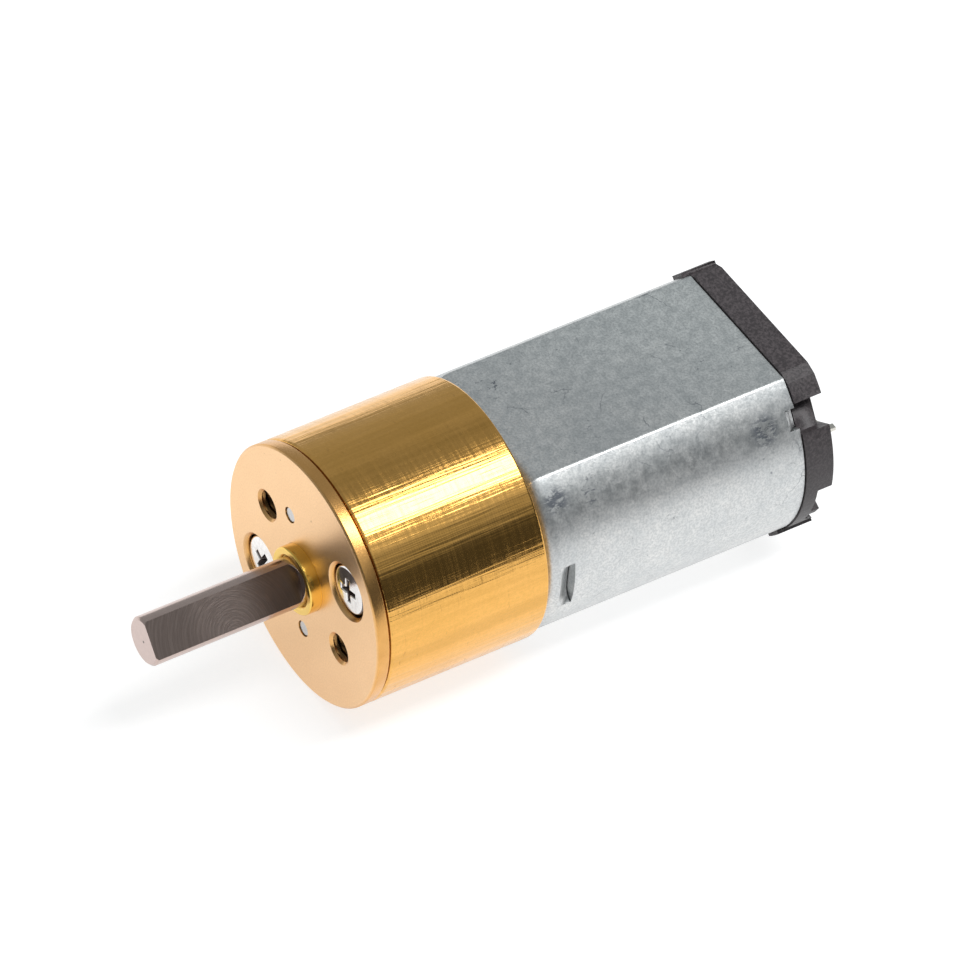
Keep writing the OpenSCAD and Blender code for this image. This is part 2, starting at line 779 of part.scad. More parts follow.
// the recesses that both ends of the cap share, turned half a turn for the other side
module cap_cuts() {
  slot_angle = 32.2;
  slot_width = 1.9;
  slot_sink = 0.35;
  pocket_gap = 0.15;
  pocket_depth = 0.75;
  step_from = -6.7;
  step_run = 3.2;
  step_end = 4.2;
  rotate([0, 0, slot_angle]) {
    translate([can_in_r, -slot_width / 2, cap_rim_rear - 1])
      cube([3, slot_width, cap_height + 1]);
    translate([can_in_r - 1.6, -slot_width / 2, cap_rim_rear - 1])
      cube([4, slot_width, slot_sink + 1]);
  }
  rotate([0, 0, crimp_angle])
    translate([can_in_r - pocket_depth, -crimp_width / 2 - pocket_gap, can_rear - pocket_gap])
    cube([3, crimp_width + 2 * pocket_gap, plug_length + 1]);
  rotate([0, 0, step_from]) translate([can_in_r - 1.2, 0, 0]) mirror([0, 1, 0])
    rotate([90, 0, 90]) linear_extrude(4) polygon([[0, cap_rim_rear - 1], [0, cap_step_rear],
      [step_run, cap_step_rear], [step_end, cap_rim_rear], [step_end, cap_rim_rear - 1]]);
  translate([terminal_x - 0.02, terminal_y - 0.02, cap_rim_rear - 1])
    cube([terminal_width + 0.04, terminal_t + 0.04, cap_height + plug_length + 2]);
}

// a pad on a corner of the cap, with a thin lip that reaches forward over the can's round side
module cap_lip() {
  from = 131;
  sweep = 9;
  stand = 0.25;
  reach = 0.45;
  rotate([0, 0, from]) rotate_extrude(angle = sweep) {
    square_from(can_r - 0.3, can_r + stand, cap_rim_rear, can_rear - 0.05);
    square_from(can_r + 0.02, can_r + stand, can_rear - 0.1, can_rear + reach);
  }
}

module end_cap() {
  rim = 1.25;
  rib_angle = -31;
  rib_t = 0.7;
  color("darkslategray") laid() {
    difference() {
      union() {
        flat_sided_block(cap_r, cap_h, cap_rim_rear, can_rear - 0.03);
        flat_sided_block(can_in_r, can_in_h, can_rear - 0.1, can_rear + plug_length);
      }
      flat_sided_block(can_in_r - 0.8, can_in_h - 0.8, cap_floor_front, can_rear + plug_length + 1);
      difference() {
        flat_sided_block(cap_r - rim, cap_h - rim, cap_rim_rear - 1, cap_floor_rear);
        rod(cap_boss_r, cap_rim_rear - 2, cap_floor_rear + 1);
      }
      rod(motor_bearing_r, cap_floor_front - cap_height - 2, cap_floor_front + 2);
      for (i = [0, 1]) rotate([0, 0, i * 180]) cap_cuts();
    }
    for (i = [0, 1]) rotate([0, 0, i * 180 + rib_angle])
      translate([cap_r - rim - 0.1, -rib_t / 2, cap_rim_rear]) cube([rim - 0.1, rib_t, cap_recess]);
    for (i = [0, 1]) rotate([0, 0, i * 180]) cap_lip();
    difference() {
      rod(motor_bearing_r + 0.6, cap_floor_front - 0.1, rear_bearing_front - 0.2);
      rod(motor_bearing_r, cap_floor_front - 1, rear_bearing_front + 1);
    }
  }
}

module rear_motor_bearing() {
  color("saddlebrown") laid()
    tube(motor_bearing_r, motor_shaft_r + running_gap, rear_bearing_rear, rear_bearing_front);
}

// a leaf brush from its terminal to the commutator
module brush_shape() {
  leaf = 0.15;
  translate([0, 0, brush_z - brush_width / 2]) linear_extrude(brush_width)
    polygon([[terminal_x, terminal_y], [terminal_x, terminal_y + leaf],
      [brush_x + leaf, terminal_y + leaf], [brush_x, terminal_y + leaf * 0.6], [brush_x, -1.8],
      [brush_x + leaf, -1.8], [brush_x + leaf, terminal_y]]);
}

module brush_right() {
  color("orange") laid() brush_shape();
}

module brush_left() {
  color("orange") laid() rotate([0, 0, 180]) brush_shape();
}

module terminal_shape() {
  narrow = 0.4;
  outer = terminal_x + terminal_width;
  translate([0, terminal_y + terminal_t, 0]) rotate([90, 0, 0]) linear_extrude(terminal_t)
    polygon([[terminal_x, brush_z + brush_width / 2], [terminal_x, terminal_tip + 0.7],
      [outer - narrow, terminal_tip + 0.5], [outer - narrow, terminal_tip], [outer, terminal_tip],
      [outer, cap_floor_front + 0.1], [terminal_x + 0.6, cap_floor_front + 0.1],
      [terminal_x + 0.6, brush_z + brush_width / 2]]);
}

module terminal_right() {
  color("silver") laid() terminal_shape();
}

module terminal_left() {
  color("silver") laid() rotate([0, 0, 180]) terminal_shape();
}

// ---------- output ----------

front_plate();
output_bearing();
gearbox_housing();
middle_plate();
rear_plate();
pillars();
front_screws();
motor_screws();
gear_pins();
spacer_a();
spacer_b_front();
spacer_b_rear();
output_shaft();
output_gear();
thrust_washer();
wheel_b();
pinion_b();
centre_wheel();
centre_pinion();
wheel_a();
pinion_a();
motor_pinion();
motor_shaft();
motor_can();
front_motor_bearing();
magnet_left();
magnet_right();
magnet_clip();
armature_core();
armature_insulators();
windings();
commutator_sleeve();
commutator_segments();
rotor_washers();
end_cap();
rear_motor_bearing();
brush_left();
brush_right();
terminal_left();
terminal_right();
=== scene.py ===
"""Looks of the small spur gearmotor: materials, detailed pieces, studio and camera."""

import json
import math

import bmesh
import bpy
from mathutils import Matrix, Vector

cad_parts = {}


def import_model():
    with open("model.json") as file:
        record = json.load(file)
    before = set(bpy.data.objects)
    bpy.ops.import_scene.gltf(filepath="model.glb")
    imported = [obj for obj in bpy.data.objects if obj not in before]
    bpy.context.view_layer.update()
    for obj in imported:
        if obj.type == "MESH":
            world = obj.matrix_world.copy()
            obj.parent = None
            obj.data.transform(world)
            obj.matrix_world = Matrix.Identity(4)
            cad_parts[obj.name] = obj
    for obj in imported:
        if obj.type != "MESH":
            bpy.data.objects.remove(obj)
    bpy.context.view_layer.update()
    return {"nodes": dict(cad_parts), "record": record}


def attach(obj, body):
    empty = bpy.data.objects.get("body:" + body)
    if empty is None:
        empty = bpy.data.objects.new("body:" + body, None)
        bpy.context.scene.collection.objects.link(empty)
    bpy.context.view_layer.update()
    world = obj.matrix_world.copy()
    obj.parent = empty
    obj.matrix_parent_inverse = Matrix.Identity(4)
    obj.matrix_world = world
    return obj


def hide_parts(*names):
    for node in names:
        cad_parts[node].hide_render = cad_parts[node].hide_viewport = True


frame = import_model()
nodes = frame["nodes"]
body_of = {
    n: b for b, names in frame["record"]["behaviour"]["bodies"].items() for n in names
}
slot_of = {s["node"]: s["material_slot"] for s in frame["record"]["subparts"]}
MM = 0.001
MOUNT_RADIUS, MOUNT_ANGLE = 4.6, 150.5
SCREW_RADIUS, SCREW_ANGLE = 5.17, 30.5
PIN_RADIUS, PIN_ANGLES = 3.875, (115, 274)
FLAT_ANGLE = 41
# the middle of the arcs that the milling cutter left on the shaft's flat: across it and along y
MILL_CENTRE = (-1.3, -5.4)


def polar(radius, degrees):
    """The x and z of a point at an angle round the shaft's axis."""
    return (
        radius * math.cos(math.radians(degrees)),
        radius * math.sin(math.radians(degrees)),
    )


# ---------------------------------------------------------------- node graphs


class Graph:
    """Builds a material's nodes. Lengths are millimetres, in the object's own frame."""

    def __init__(self, name, tree=None):
        if tree is None:
            self.material = bpy.data.materials.new(name)
            self.material.use_nodes = True
            tree = self.material.node_tree
            self.bsdf = tree.nodes["Principled BSDF"]
        self.tree = tree

    def add(self, kind, inputs=None, out=0, **settings):
        n = self.tree.nodes.new(kind)
        for key, value in settings.items():
            setattr(n, key, value)
        for key, value in (inputs or {}).items():
            self.set(n.inputs[key], value)
        return n.outputs[out]

    def set(self, socket, value):
        if isinstance(value, bpy.types.NodeSocket):
            self.tree.links.new(value, socket)
        else:
            socket.default_value = value

    def math(self, op, a, b=0.0, c=0.0, clamp=False):
        n = self.tree.nodes.new("ShaderNodeMath")
        n.operation, n.use_clamp = op, clamp
        for socket, value in zip(n.inputs, (a, b, c)):
            self.set(socket, value)
        return n.outputs[0]

    def times(self, a, b):
        return self.math("MULTIPLY", a, b)

    def plus(self, a, b):
        return self.math("ADD", a, b)

    def most(self, a, b):
        return self.math("MAXIMUM", a, b)

    def least(self, a, b):
        return self.math("MINIMUM", a, b)

    def coords(self):
        """Object coordinates in millimetres."""
        c = self.tree.nodes.new("ShaderNodeTexCoord").outputs["Object"]
        return self.add(
            "ShaderNodeVectorMath", {0: c, "Scale": 1000.0}, operation="SCALE"
        )

    def normal(self):
        """The surface's normal in the object's own frame."""
        return self.tree.nodes.new("ShaderNodeTexCoord").outputs["Normal"]

    def split(self, vector):
        n = self.tree.nodes.new("ShaderNodeSeparateXYZ")
        self.tree.links.new(vector, n.inputs[0])
        return n.outputs

    def join(self, x, y, z):
        return self.add("ShaderNodeCombineXYZ", {0: x, 1: y, 2: z})

    def apart(self, xyz, centre):
        """How far a point lies from a line along y through centre, an (x, z) pair."""
        flat = self.join(xyz[0], 0.0, xyz[2])
        end = (centre[0], 0, centre[1])
        return self.add("ShaderNodeVectorMath", {0: flat, 1: end}, operation="DISTANCE", out=1)

    def pin_distance(self, xyz):
        """How far a point lies from the nearer gear pin's axis."""
        return self.least(*[self.apart(xyz, polar(PIN_RADIUS, a)) for a in PIN_ANGLES])

    def noise(self, vector, scale, detail=3.0, rough=0.55, warp=0.0, out=0):
        return self.add(
            "ShaderNodeTexNoise",
            {
                "Vector": vector,
                "Scale": scale,
                "Detail": detail,
                "Roughness": rough,
                "Distortion": warp,
            },
            out=out,
        )

    def step(self, value, low, high, to_low=0.0, to_high=1.0):
        """A smooth step from to_low at low to to_high at high."""
        return self.add(
            "ShaderNodeMapRange",
            {
                "Value": value,
                "From Min": low,
                "From Max": high,
                "To Min": to_low,
                "To Max": to_high,
            },
            interpolation_type="SMOOTHSTEP",
        )

    def mix(self, fac, a, b, mode="MIX"):
        n = self.tree.nodes.new("ShaderNodeMix")
        n.data_type, n.blend_type = "RGBA", mode
        self.set(n.inputs["Factor"], fac)
        for socket, value in ((n.inputs[6], a), (n.inputs[7], b)):
            self.set(socket, (*value, 1.0) if isinstance(value, tuple) else value)
        return n.outputs[2]

    def bump(self, height, depth_mm, below=None, strength=1.0):
        inputs = {"Height": height, "Distance": depth_mm * MM, "Strength": strength}
        if below is not None:
            inputs["Normal"] = below
        return self.add("ShaderNodeBump", inputs)

    def finish(self, color, rough, metallic=1.0, normal=None, specular=None, **more):
        self.set(
            self.bsdf.inputs["Base Color"],
            (*color, 1.0) if isinstance(color, tuple) else color,
        )
        self.set(self.bsdf.inputs["Roughness"], rough)
        self.bsdf.inputs["Metallic"].default_value = metallic
        if specular is not None:
            self.bsdf.inputs["Specular IOR Level"].default_value = specular
        if normal is not None:
            self.set(self.bsdf.inputs["Normal"], normal)
        for key, value in more.items():
            self.bsdf.inputs[key.replace("_", " ")].default_value = value
        return self.material


def spun(g, xyz):
    """The direction round the shaft's axis, and the distance from it."""
    flat = g.join(xyz[0], 0.0, xyz[2])
    return (
        g.add("ShaderNodeVectorMath", {0: flat}, operation="NORMALIZE"),
        g.add("ShaderNodeVectorMath", {0: flat}, operation="LENGTH", out=1),
    )


def brass_tube():
    g = Graph("polished_brass_tube")
    p = g.coords()
    xyz = g.split(p)
    around, _ = spun(g, xyz)
    ring = g.split(around)
    # long ripples that run along the tube, and fine lines that run round it
    ripple = g.join(ring[0], g.times(xyz[1], 0.004), ring[2])
    ripple = g.noise(ripple, 9.0, 4.0, 0.62)
    lines = g.join(g.times(ring[0], 0.35), g.times(xyz[1], 4.2), g.times(ring[2], 0.35))
    lines = g.noise(lines, 1.0, 3.0, 0.7)
    smudge = g.noise(p, 0.35, 4.0, 0.6, 0.4)
    scuff = g.noise(g.join(xyz[0], g.times(xyz[1], 4.0), xyz[2]), 0.9, 5.0, 0.7)
    scuff = g.step(scuff, 0.62, 0.72)
    grain = g.noise(p, 5.5, 3.0, 0.75)
    color = g.mix(smudge, (0.80, 0.43, 0.105), (0.90, 0.50, 0.15))
    color = g.mix(g.step(ripple, 0.40, 0.62), g.mix(0.3, color, (0.5, 0.27, 0.06)), color)
    color = g.mix(g.step(grain, 0.35, 0.65, 0.16, 0.0), color, (0.45, 0.23, 0.05))
    color = g.mix(g.times(scuff, 0.45), color, (0.30, 0.16, 0.04))
    rough = g.plus(g.step(lines, 0.3, 0.75, 0.12, 0.25), g.times(scuff, 0.12))
    turn = g.add(
        "ShaderNodeTexWave",
        {
            "Vector": g.join(xyz[1], g.times(ring[0], 0.02), 0.0),
            "Scale": 2.1,
            "Distortion": 1.4,
            "Detail": 2.0,
        },
        out=1,
        wave_profile="SIN",
    )
    n = g.bump(ripple, 0.06)
    n = g.bump(lines, 0.0045, n)
    n = g.bump(turn, 0.0016, n)
    return g.finish(color, rough, normal=n)


def brass_plate():
    g = Graph("satin_brass_plate")
    p = g.coords()
    xyz = g.split(p)
    around, radius = spun(g, xyz)
    face = g.step(g.split(g.normal())[1], -0.9, -0.6, 1.0, 0.0)
    grain = g.noise(p, 9.0, 3.0, 0.7)
    cloud = g.noise(p, 0.5, 3.0, 0.5)
    speck = g.step(g.noise(p, 2.6, 2.0, 0.5), 0.735, 0.765)
    on_face = g.mix(cloud, (0.90, 0.575, 0.30), (0.97, 0.64, 0.35))
    on_face = g.mix(g.step(grain, 0.35, 0.65, 0.2, 0.0), on_face, (0.5, 0.27, 0.1))
    on_face = g.mix(g.times(speck, 0.6), on_face, (0.36, 0.2, 0.09))
    on_side = g.mix(g.noise(p, 0.9, 4.0, 0.65), (0.60, 0.30, 0.08), (0.84, 0.46, 0.15))
    color = g.mix(face, on_side, on_face)
    # painted shade darkens the insides of the holes and the walls round the gear pins; the joint
    # behind the rim is dark too
    hole = g.times(g.step(xyz[1], 0.16, 0.42), g.step(radius, 7.3, 7.6, 1.0, 0.0))
    joint = g.times(g.step(xyz[1], 0.80, 0.85), g.step(radius, 7.85, 7.9))
    by_pin = g.step(g.pin_distance(xyz), 0.58, 0.64, 1.0, 0.0)
    pin_wall_shade = g.times(by_pin, g.step(xyz[1], 0.03, 0.10))
    # dark holds the painted shade of the holes and pin walls together with the dark joint
    dark = g.most(g.times(hole, 0.86), g.times(joint, 0.8))
    dark = g.most(dark, g.times(pin_wall_shade, 0.85))
    color = g.mix(dark, color, (0.05, 0.026, 0.01))
    lines = g.join(g.times(radius, 3.5), g.times(xyz[1], 6.0), 0.0)
    lines = g.noise(lines, 1.5, 3.0, 0.7)
    rough = g.step(face, 0.0, 1.0, 0.27, 0.35)
    n = g.bump(grain, 0.005, g.bump(lines, 0.004))
    return g.finish(color, rough, normal=n, Coat_Weight=0.22, Coat_Roughness=0.45)


def brass_bearing():
    g = Graph("turned_brass_collar")
    p = g.coords()
    xyz = g.split(p)
    _, radius = spun(g, xyz)
    lines = g.join(g.times(radius, 5.0), g.times(xyz[1], 7.0), 0.0)
    lines = g.noise(lines, 1.6, 3.0, 0.7)
    cloud = g.noise(p, 0.9, 3.0)
    color = g.mix(cloud, (0.83, 0.52, 0.10), (0.93, 0.64, 0.17))
    return g.finish(color, g.step(lines, 0.3, 0.7, 0.14, 0.27), normal=g.bump(lines, 0.004))


def machined(name, dark, light, low=0.22, high=0.36, scale=1.6, grain=0.003, metallic=1.0):
    """A plain machined or stamped metal: cloudy colour, fine grain and varying gloss."""
    g = Graph(name)
    p = g.coords()
    cloud = g.noise(p, scale, 4.0, 0.6, 0.2)
    fine = g.noise(p, scale * 9.0, 2.0, 0.6)
    color = g.mix(cloud, dark, light)
    rough = g.step(fine, 0.3, 0.7, low, high)
    return g.finish(color, rough, metallic, g.bump(fine, grain))


def plated_screw():
    g = Graph("bright_plated_screw")
    p = g.coords()
    cloud = g.noise(p, 3.0, 3.0)
    xyz = g.split(p)
    color = g.mix(g.step(cloud, 0.35, 0.65), (0.80, 0.77, 0.75), (0.93, 0.91, 0.89))
    # painted shade darkens the cross recess, the head's rounded edge on its +x side, and the head's
    # side below its top
    screws = [polar(SCREW_RADIUS, SCREW_ANGLE + turn) for turn in (0, 180)]
    off = g.least(*[g.apart(xyz, screw) for screw in screws])
    recess = g.times(g.step(xyz[1], 0.165, 0.21), g.step(off, 1.08, 1.14, 1.0, 0.0))
    # the edge mask paints shade by which way the surface faces
    edge = g.times(g.step(off, 1.36, 1.42), g.step(g.split(g.normal())[0], 0.1, 0.35))
    # the step in depth paints shade on the head's side down in the counterbore
    dark = g.most(g.most(recess, edge), g.step(xyz[1], 0.32, 0.40))
    color = g.mix(g.times(dark, 0.9), color, (0.06, 0.035, 0.03))
    rough = g.step(cloud, 0.3, 0.7, 0.10, 0.20)
    return g.finish(color, rough, normal=g.bump(g.noise(p, 9.0), 0.002))


def shaft_steel():
    g = Graph("ground_shaft_steel")
    p = g.coords()
    xyz = g.split(p)
    normal = g.split(g.normal())
    out_x, out_z = polar(1.0, FLAT_ANGLE)
    # how far a point lies across the flat and out from the axis, and how far it faces that way
    across = g.plus(g.times(xyz[0], -out_z), g.times(xyz[2], out_x))
    faces = g.plus(g.times(normal[0], out_x), g.times(normal[2], out_z))
    out = g.plus(g.times(xyz[0], out_x), g.times(xyz[2], out_z))
    on_flat = g.times(g.step(faces, 0.985, 0.998), g.step(out, 0.98, 1.01, 1.0, 0.0))
    on_end = g.step(normal[1], -0.98, -0.9, 1.0, 0.0)
    # marks that the milling cutter left across the flat, as arcs
    reach = g.add(
        "ShaderNodeVectorMath",
        {0: g.join(across, xyz[1], 0.0), 1: (*MILL_CENTRE, 0.0)},
        operation="DISTANCE",
        out=1,
    )
    marks = g.noise(g.join(reach, g.times(xyz[1], 0.12), 0.0), 8.5, 3.0, 0.7)
    marks = g.times(marks, on_flat)
    lines = g.noise(g.join(g.times(xyz[1], 5.0), 0.0, 0.0), 1.5, 3.0, 0.7)
    _, radius = spun(g, xyz)
    # a painted dark dot on the end face stands in for the shade inside the centre dimple
    dimple_shade = g.times(g.step(radius, 0.05, 0.10, 1.0, 0.0), on_end)
    cloud = g.noise(p, 1.3, 3.0)
    color = g.mix(cloud, (0.50, 0.39, 0.355), (0.60, 0.475, 0.43))
    # painted shade and highlight: the flat is dark towards its root, a little darker at its tip,
    # and palest between them, where its highlight falls
    flat_shade = g.times(on_flat, g.step(xyz[1], -5.2, -2.2, 0.18, 0.72))
    tip_shade = g.times(on_flat, g.step(xyz[1], -8.5, -6.2, 0.42, 0.18))
    flat_shade = g.most(flat_shade, tip_shade)
    color = g.mix(flat_shade, color, (0.06, 0.045, 0.036))
    groove = g.times(on_flat, g.step(marks, 0.45, 0.6, 0.22, 0.0))
    color = g.mix(groove, color, (0.12, 0.09, 0.075))
    color = g.mix(on_end, color, g.mix(g.noise(p, 6.0), (0.56, 0.45, 0.415), (0.67, 0.54, 0.50)))
    color = g.mix(dimple_shade, color, (0.10, 0.09, 0.08))
    rough = g.step(g.most(on_flat, on_end), 0.0, 1.0, 0.20, 0.30)
    rough = g.plus(rough, g.times(on_end, 0.08))
    n = g.bump(marks, 0.010, g.bump(lines, 0.0015))
    return g.finish(color, rough, normal=n)


# rubbed marks on the can: the middle, the reach, and the noise level above which the metal is dark
CAN_SCUFFS = (
    ((6.45, 26.7, 4.2), 1.3, 0.44),
    ((6.02, 12.9, 4.9), 1.1, 0.44),
    ((7.58, 19.9, 1.6), 0.8, 0.56),
    ((6.13, 15.4, 4.7), 1.3, 0.55),
    ((-2.8, 13.9, 6.0), 1.6, 0.57),
    ((-6.9, 26.0, -3.5), 1.6, 0.52),
    ((-7.2, 16.5, 2.0), 1.7, 0.56),
)


def plated_can():
    g = Graph("zinc_plated_can")
    p = g.coords()
    xyz = g.split(p)
    top = g.step(g.split(g.normal())[2], 0.9, 0.99)
    cloud = g.noise(p, 0.32, 5.0, 0.62, 0.6)
    mottle = g.noise(p, 1.7, 4.0, 0.65, 0.3)
    grain = g.noise(p, 7.0, 3.0, 0.7)
    # painted sheen: the top flat is lit paler towards its rear
    top_sheen = g.step(g.math("SUBTRACT", xyz[1], g.times(xyz[0], 1.2)), 12.0, 33.0)
    top_sheen = g.times(top_sheen, top)
    color = g.mix(g.step(cloud, 0.35, 0.68), (0.68, 0.69, 0.69), (0.78, 0.78, 0.77))
    color = g.mix(g.times(top_sheen, 0.75), color, (0.90, 0.93, 0.92))
    color = g.mix(g.step(mottle, 0.35, 0.62, 0.22, 0.0), color, (0.40, 0.44, 0.46))
    color = g.mix(g.step(grain, 0.40, 0.60, 0.42, 0.0), color, (0.36, 0.38, 0.39))
    # small dark specks and short scratches
    speck = g.step(g.noise(p, 3.1, 3.0, 0.6), 0.69, 0.735)
    drift = g.noise(p, 0.9, 3.0, 0.6, out=1)
    wander = g.add("ShaderNodeVectorMath", {0: p, 1: drift}, operation="ADD")
    cell = g.add(
        "ShaderNodeTexVoronoi",
        {"Vector": wander, "Scale": 0.42, "Randomness": 1.0},
        feature="DISTANCE_TO_EDGE",
    )
    patch = g.step(g.noise(p, 0.45, 2.0), 0.56, 0.68)
    scratch = g.times(g.step(cell, 0.0, 0.022, 1.0, 0.0), patch)
    wear = g.most(g.times(speck, 0.5), g.times(scratch, 0.55))
    smear = g.join(xyz[0], g.times(xyz[1], 0.6), g.times(xyz[2], 1.6))
    smear = g.noise(smear, 2.4, 4.0, 0.75)
    for centre, reach, low in CAN_SCUFFS:
        away = g.add("ShaderNodeVectorMath", {0: p, 1: centre}, operation="DISTANCE", out=1)
        near = g.step(away, reach * 0.35, reach, 1.0, 0.0)
        mark = g.times(near, g.step(smear, low, low + 0.09))
        wear = g.most(wear, g.times(mark, 0.8))
    color = g.mix(wear, color, (0.085, 0.10, 0.13))
    rough = g.plus(g.step(mottle, 0.3, 0.7, 0.38, 0.47), g.times(wear, 0.12))
    n = g.bump(grain, 0.007, g.bump(mottle, 0.006))
    return g.finish(color, rough, normal=n)


def black_plastic():
    g = Graph("black_moulded_plastic")
    p = g.coords()
    grain = g.noise(p, 6.0, 4.0, 0.7)
    cloud = g.noise(p, 0.6, 3.0)
    dust = g.step(g.noise(p, 5.0, 2.0), 0.72, 0.76)
    color = g.mix(cloud, (0.030, 0.025, 0.027), (0.050, 0.041, 0.044))
    color = g.mix(g.step(grain, 0.42, 0.62, 0.0, 0.6), color, (0.13, 0.11, 0.115))
    color = g.mix(g.times(dust, 0.4), color, (0.30, 0.26, 0.26))
    return g.finish(color, g.step(grain, 0.3, 0.7, 0.36, 0.52), 0.0, g.bump(grain, 0.016), 0.5)


def enamelled_wire():
    g = Graph("enamelled_copper_wire")
    p = g.coords()
    xyz = g.split(p)
    turns = g.add(
        "ShaderNodeTexWave",
        {
            "Vector": g.join(xyz[1], g.times(xyz[0], 0.2), 0.0),
            "Scale": 2.6,
            "Distortion": 0.6,
            "Detail": 1.0,
        },
        out=1,
        wave_profile="SIN",
    )
    # painted shade: the colour follows the turns, dark between them and pale on their crests
    color = g.mix(turns, (0.28, 0.07, 0.022), (0.66, 0.24, 0.09))
    return g.finish(color, 0.28, normal=g.bump(turns, 0.03))


MATERIALS = {
    "brass_tube": brass_tube(),
    "brass_plate": brass_plate(),
    "brass_bearing": brass_bearing(),
    "brass_inner": machined("cut_brass", (0.68, 0.44, 0.15), (0.84, 0.58, 0.24)),
    "plated_screw": plated_screw(),
    "dark_screw": machined("blackened_screw", (0.05, 0.05, 0.05), (0.11, 0.105, 0.10), 0.3, 0.45),
    "pin_steel": machined("ground_pin_steel", (0.50, 0.49, 0.48), (0.66, 0.65, 0.64), 0.2, 0.32),
    "shaft_steel": shaft_steel(),
    "plated_can": plated_can(),
    "bronze": machined(
        "sintered_bronze", (0.30, 0.17, 0.08), (0.46, 0.28, 0.14),
        0.45, 0.6, 4.0, 0.012,
    ),
    "ferrite": machined(
        "ferrite_magnet", (0.030, 0.030, 0.033), (0.060, 0.060, 0.064),
        0.5, 0.7, 3.0, 0.010, 0.0,
    ),
    "spring_steel": machined("spring_strip_steel", (0.48, 0.48, 0.49), (0.62, 0.62, 0.63)),
    "core_steel": machined(
        "lamination_steel", (0.22, 0.23, 0.25), (0.34, 0.35, 0.37),
        0.4, 0.55, 2.0, 0.006,
    ),
    "insulator_plastic": machined(
        "ivory_insulator", (0.70, 0.67, 0.58), (0.82, 0.79, 0.70),
        0.4, 0.5, 1.5, 0.004, 0.0,
    ),
    "enamelled_copper": enamelled_wire(),
    "sleeve_plastic": machined(
        "moulded_sleeve", (0.07, 0.045, 0.03), (0.11, 0.07, 0.045),
        0.4, 0.55, 2.0, 0.005, 0.0,
    ),
    "copper": machined("commutator_copper", (0.60, 0.27, 0.15), (0.78, 0.40, 0.25), 0.25, 0.38),
    "black_plastic": black_plastic(),
    "brush_bronze": machined("brush_bronze", (0.50, 0.30, 0.13), (0.66, 0.43, 0.22)),
    "tinned_terminal": machined(
        "tinned_brass", (0.58, 0.55, 0.49), (0.74, 0.72, 0.67),
        0.25, 0.4, 3.0, 0.006,
    ),
}


def paint(obj, slot):
    obj.data.materials.clear()
    obj.data.materials.append(MATERIALS[slot])


for node_name, node in nodes.items():
    paint(node, slot_of[node_name])


# ---------------------------------------------------------------- mesh helpers


def sharpen(mesh, angle=28):
    for polygon in mesh.polygons:
        polygon.use_smooth = True
    mesh.set_sharp_from_angle(angle=math.radians(angle))


def level_normals(piece):
    """Keeps broad faces flat in the shading, so that only the rounded edges turn."""
    shade = piece.modifiers.new("shade", "WEIGHTED_NORMAL")
    shade.keep_sharp, shade.weight = True, 100
    bpy.context.view_layer.update()
    graph = bpy.context.evaluated_depsgraph_get()
    settled = bpy.data.meshes.new_from_object(piece.evaluated_get(graph))
    settled.name = piece.name
    piece.modifiers.clear()
    piece.data = settled


def add_piece(name, mesh, node, angle=28):
    """Puts a finished mesh in a CAD node's place, on its body and with its finish."""
    sharpen(mesh, angle)
    piece = bpy.data.objects.new(name, mesh)
    bpy.context.scene.collection.objects.link(piece)
    level_normals(piece)
    paint(piece, slot_of[node])
    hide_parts(node)
    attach(piece, body_of[node])
    return piece


def from_cad(node):
    """A CAD node's shape as a bmesh in millimetres, with seams closed and flat faces joined."""
    bm = bmesh.new()
    bm.from_mesh(nodes[node].data)
    bmesh.ops.scale(bm, vec=(1000, 1000, 1000), verts=bm.verts)
    bmesh.ops.remove_doubles(bm, verts=bm.verts, dist=1e-4)
    bmesh.ops.dissolve_degenerate(bm, edges=bm.edges, dist=1e-4)
    bmesh.ops.dissolve_limit(
        bm, angle_limit=math.radians(0.6), verts=bm.verts, edges=bm.edges
    )
    return bm


def to_mesh(bm, name):
    bmesh.ops.scale(bm, vec=(MM, MM, MM), verts=bm.verts)
    mesh = bpy.data.meshes.new(name)
    bm.to_mesh(mesh)
    bm.free()
    return mesh


def soften(bm, width, angle=30, segments=2, keep=None):
    """Rounds every edge that is sharper than angle. keep(edge) can leave an edge out."""
    edges = [
        e
        for e in bm.edges
        if len(e.link_faces) == 2
        and e.calc_face_angle(0) > math.radians(angle)
        and (keep is None or keep(e))
    ]
    bmesh.ops.bevel(
        bm,
        geom=edges,
        offset=width,
        segments=segments,
        profile=0.5,
        affect="EDGES",
        clamp_overlap=True,
    )


def softened(node, width, angle=30, segments=2):
    bm = from_cad(node)
    soften(bm, width, angle, segments)
    return add_piece(node + "_detailed", to_mesh(bm, node + "_detailed"), node)


def loft(rings, close_first=False, close_last=False):
    """A bmesh through rings of points, all with the same count."""
    bm = bmesh.new()
    rows = [[bm.verts.new(p) for p in ring] for ring in rings]
    for a, b in zip(rows, rows[1:]):
        for i in range(len(a)):
            j = (i + 1) % len(a)
            bm.faces.new((a[i], a[j], b[j], b[i]))
    if close_first:
        bm.faces.new(list(reversed(rows[0])))
    if close_last:
        bm.faces.new(rows[-1])
    bmesh.ops.recalc_face_normals(bm, faces=bm.faces)
    return bm


def ring(radius, y, count=64, centre=(0.0, 0.0)):
    return [
        (
            centre[0] + radius * math.cos(2 * math.pi * i / count),
            y,
            centre[1] + radius * math.sin(2 * math.pi * i / count),
        )
        for i in range(count)
    ]


def box(lo, hi):
    bm = bmesh.new()
    bmesh.ops.create_cube(bm, size=1.0)
    for v in bm.verts:
        v.co = Vector([lo[k] + (hi[k] - lo[k]) * (v.co[k] + 0.5) for k in range(3)])
    return bm


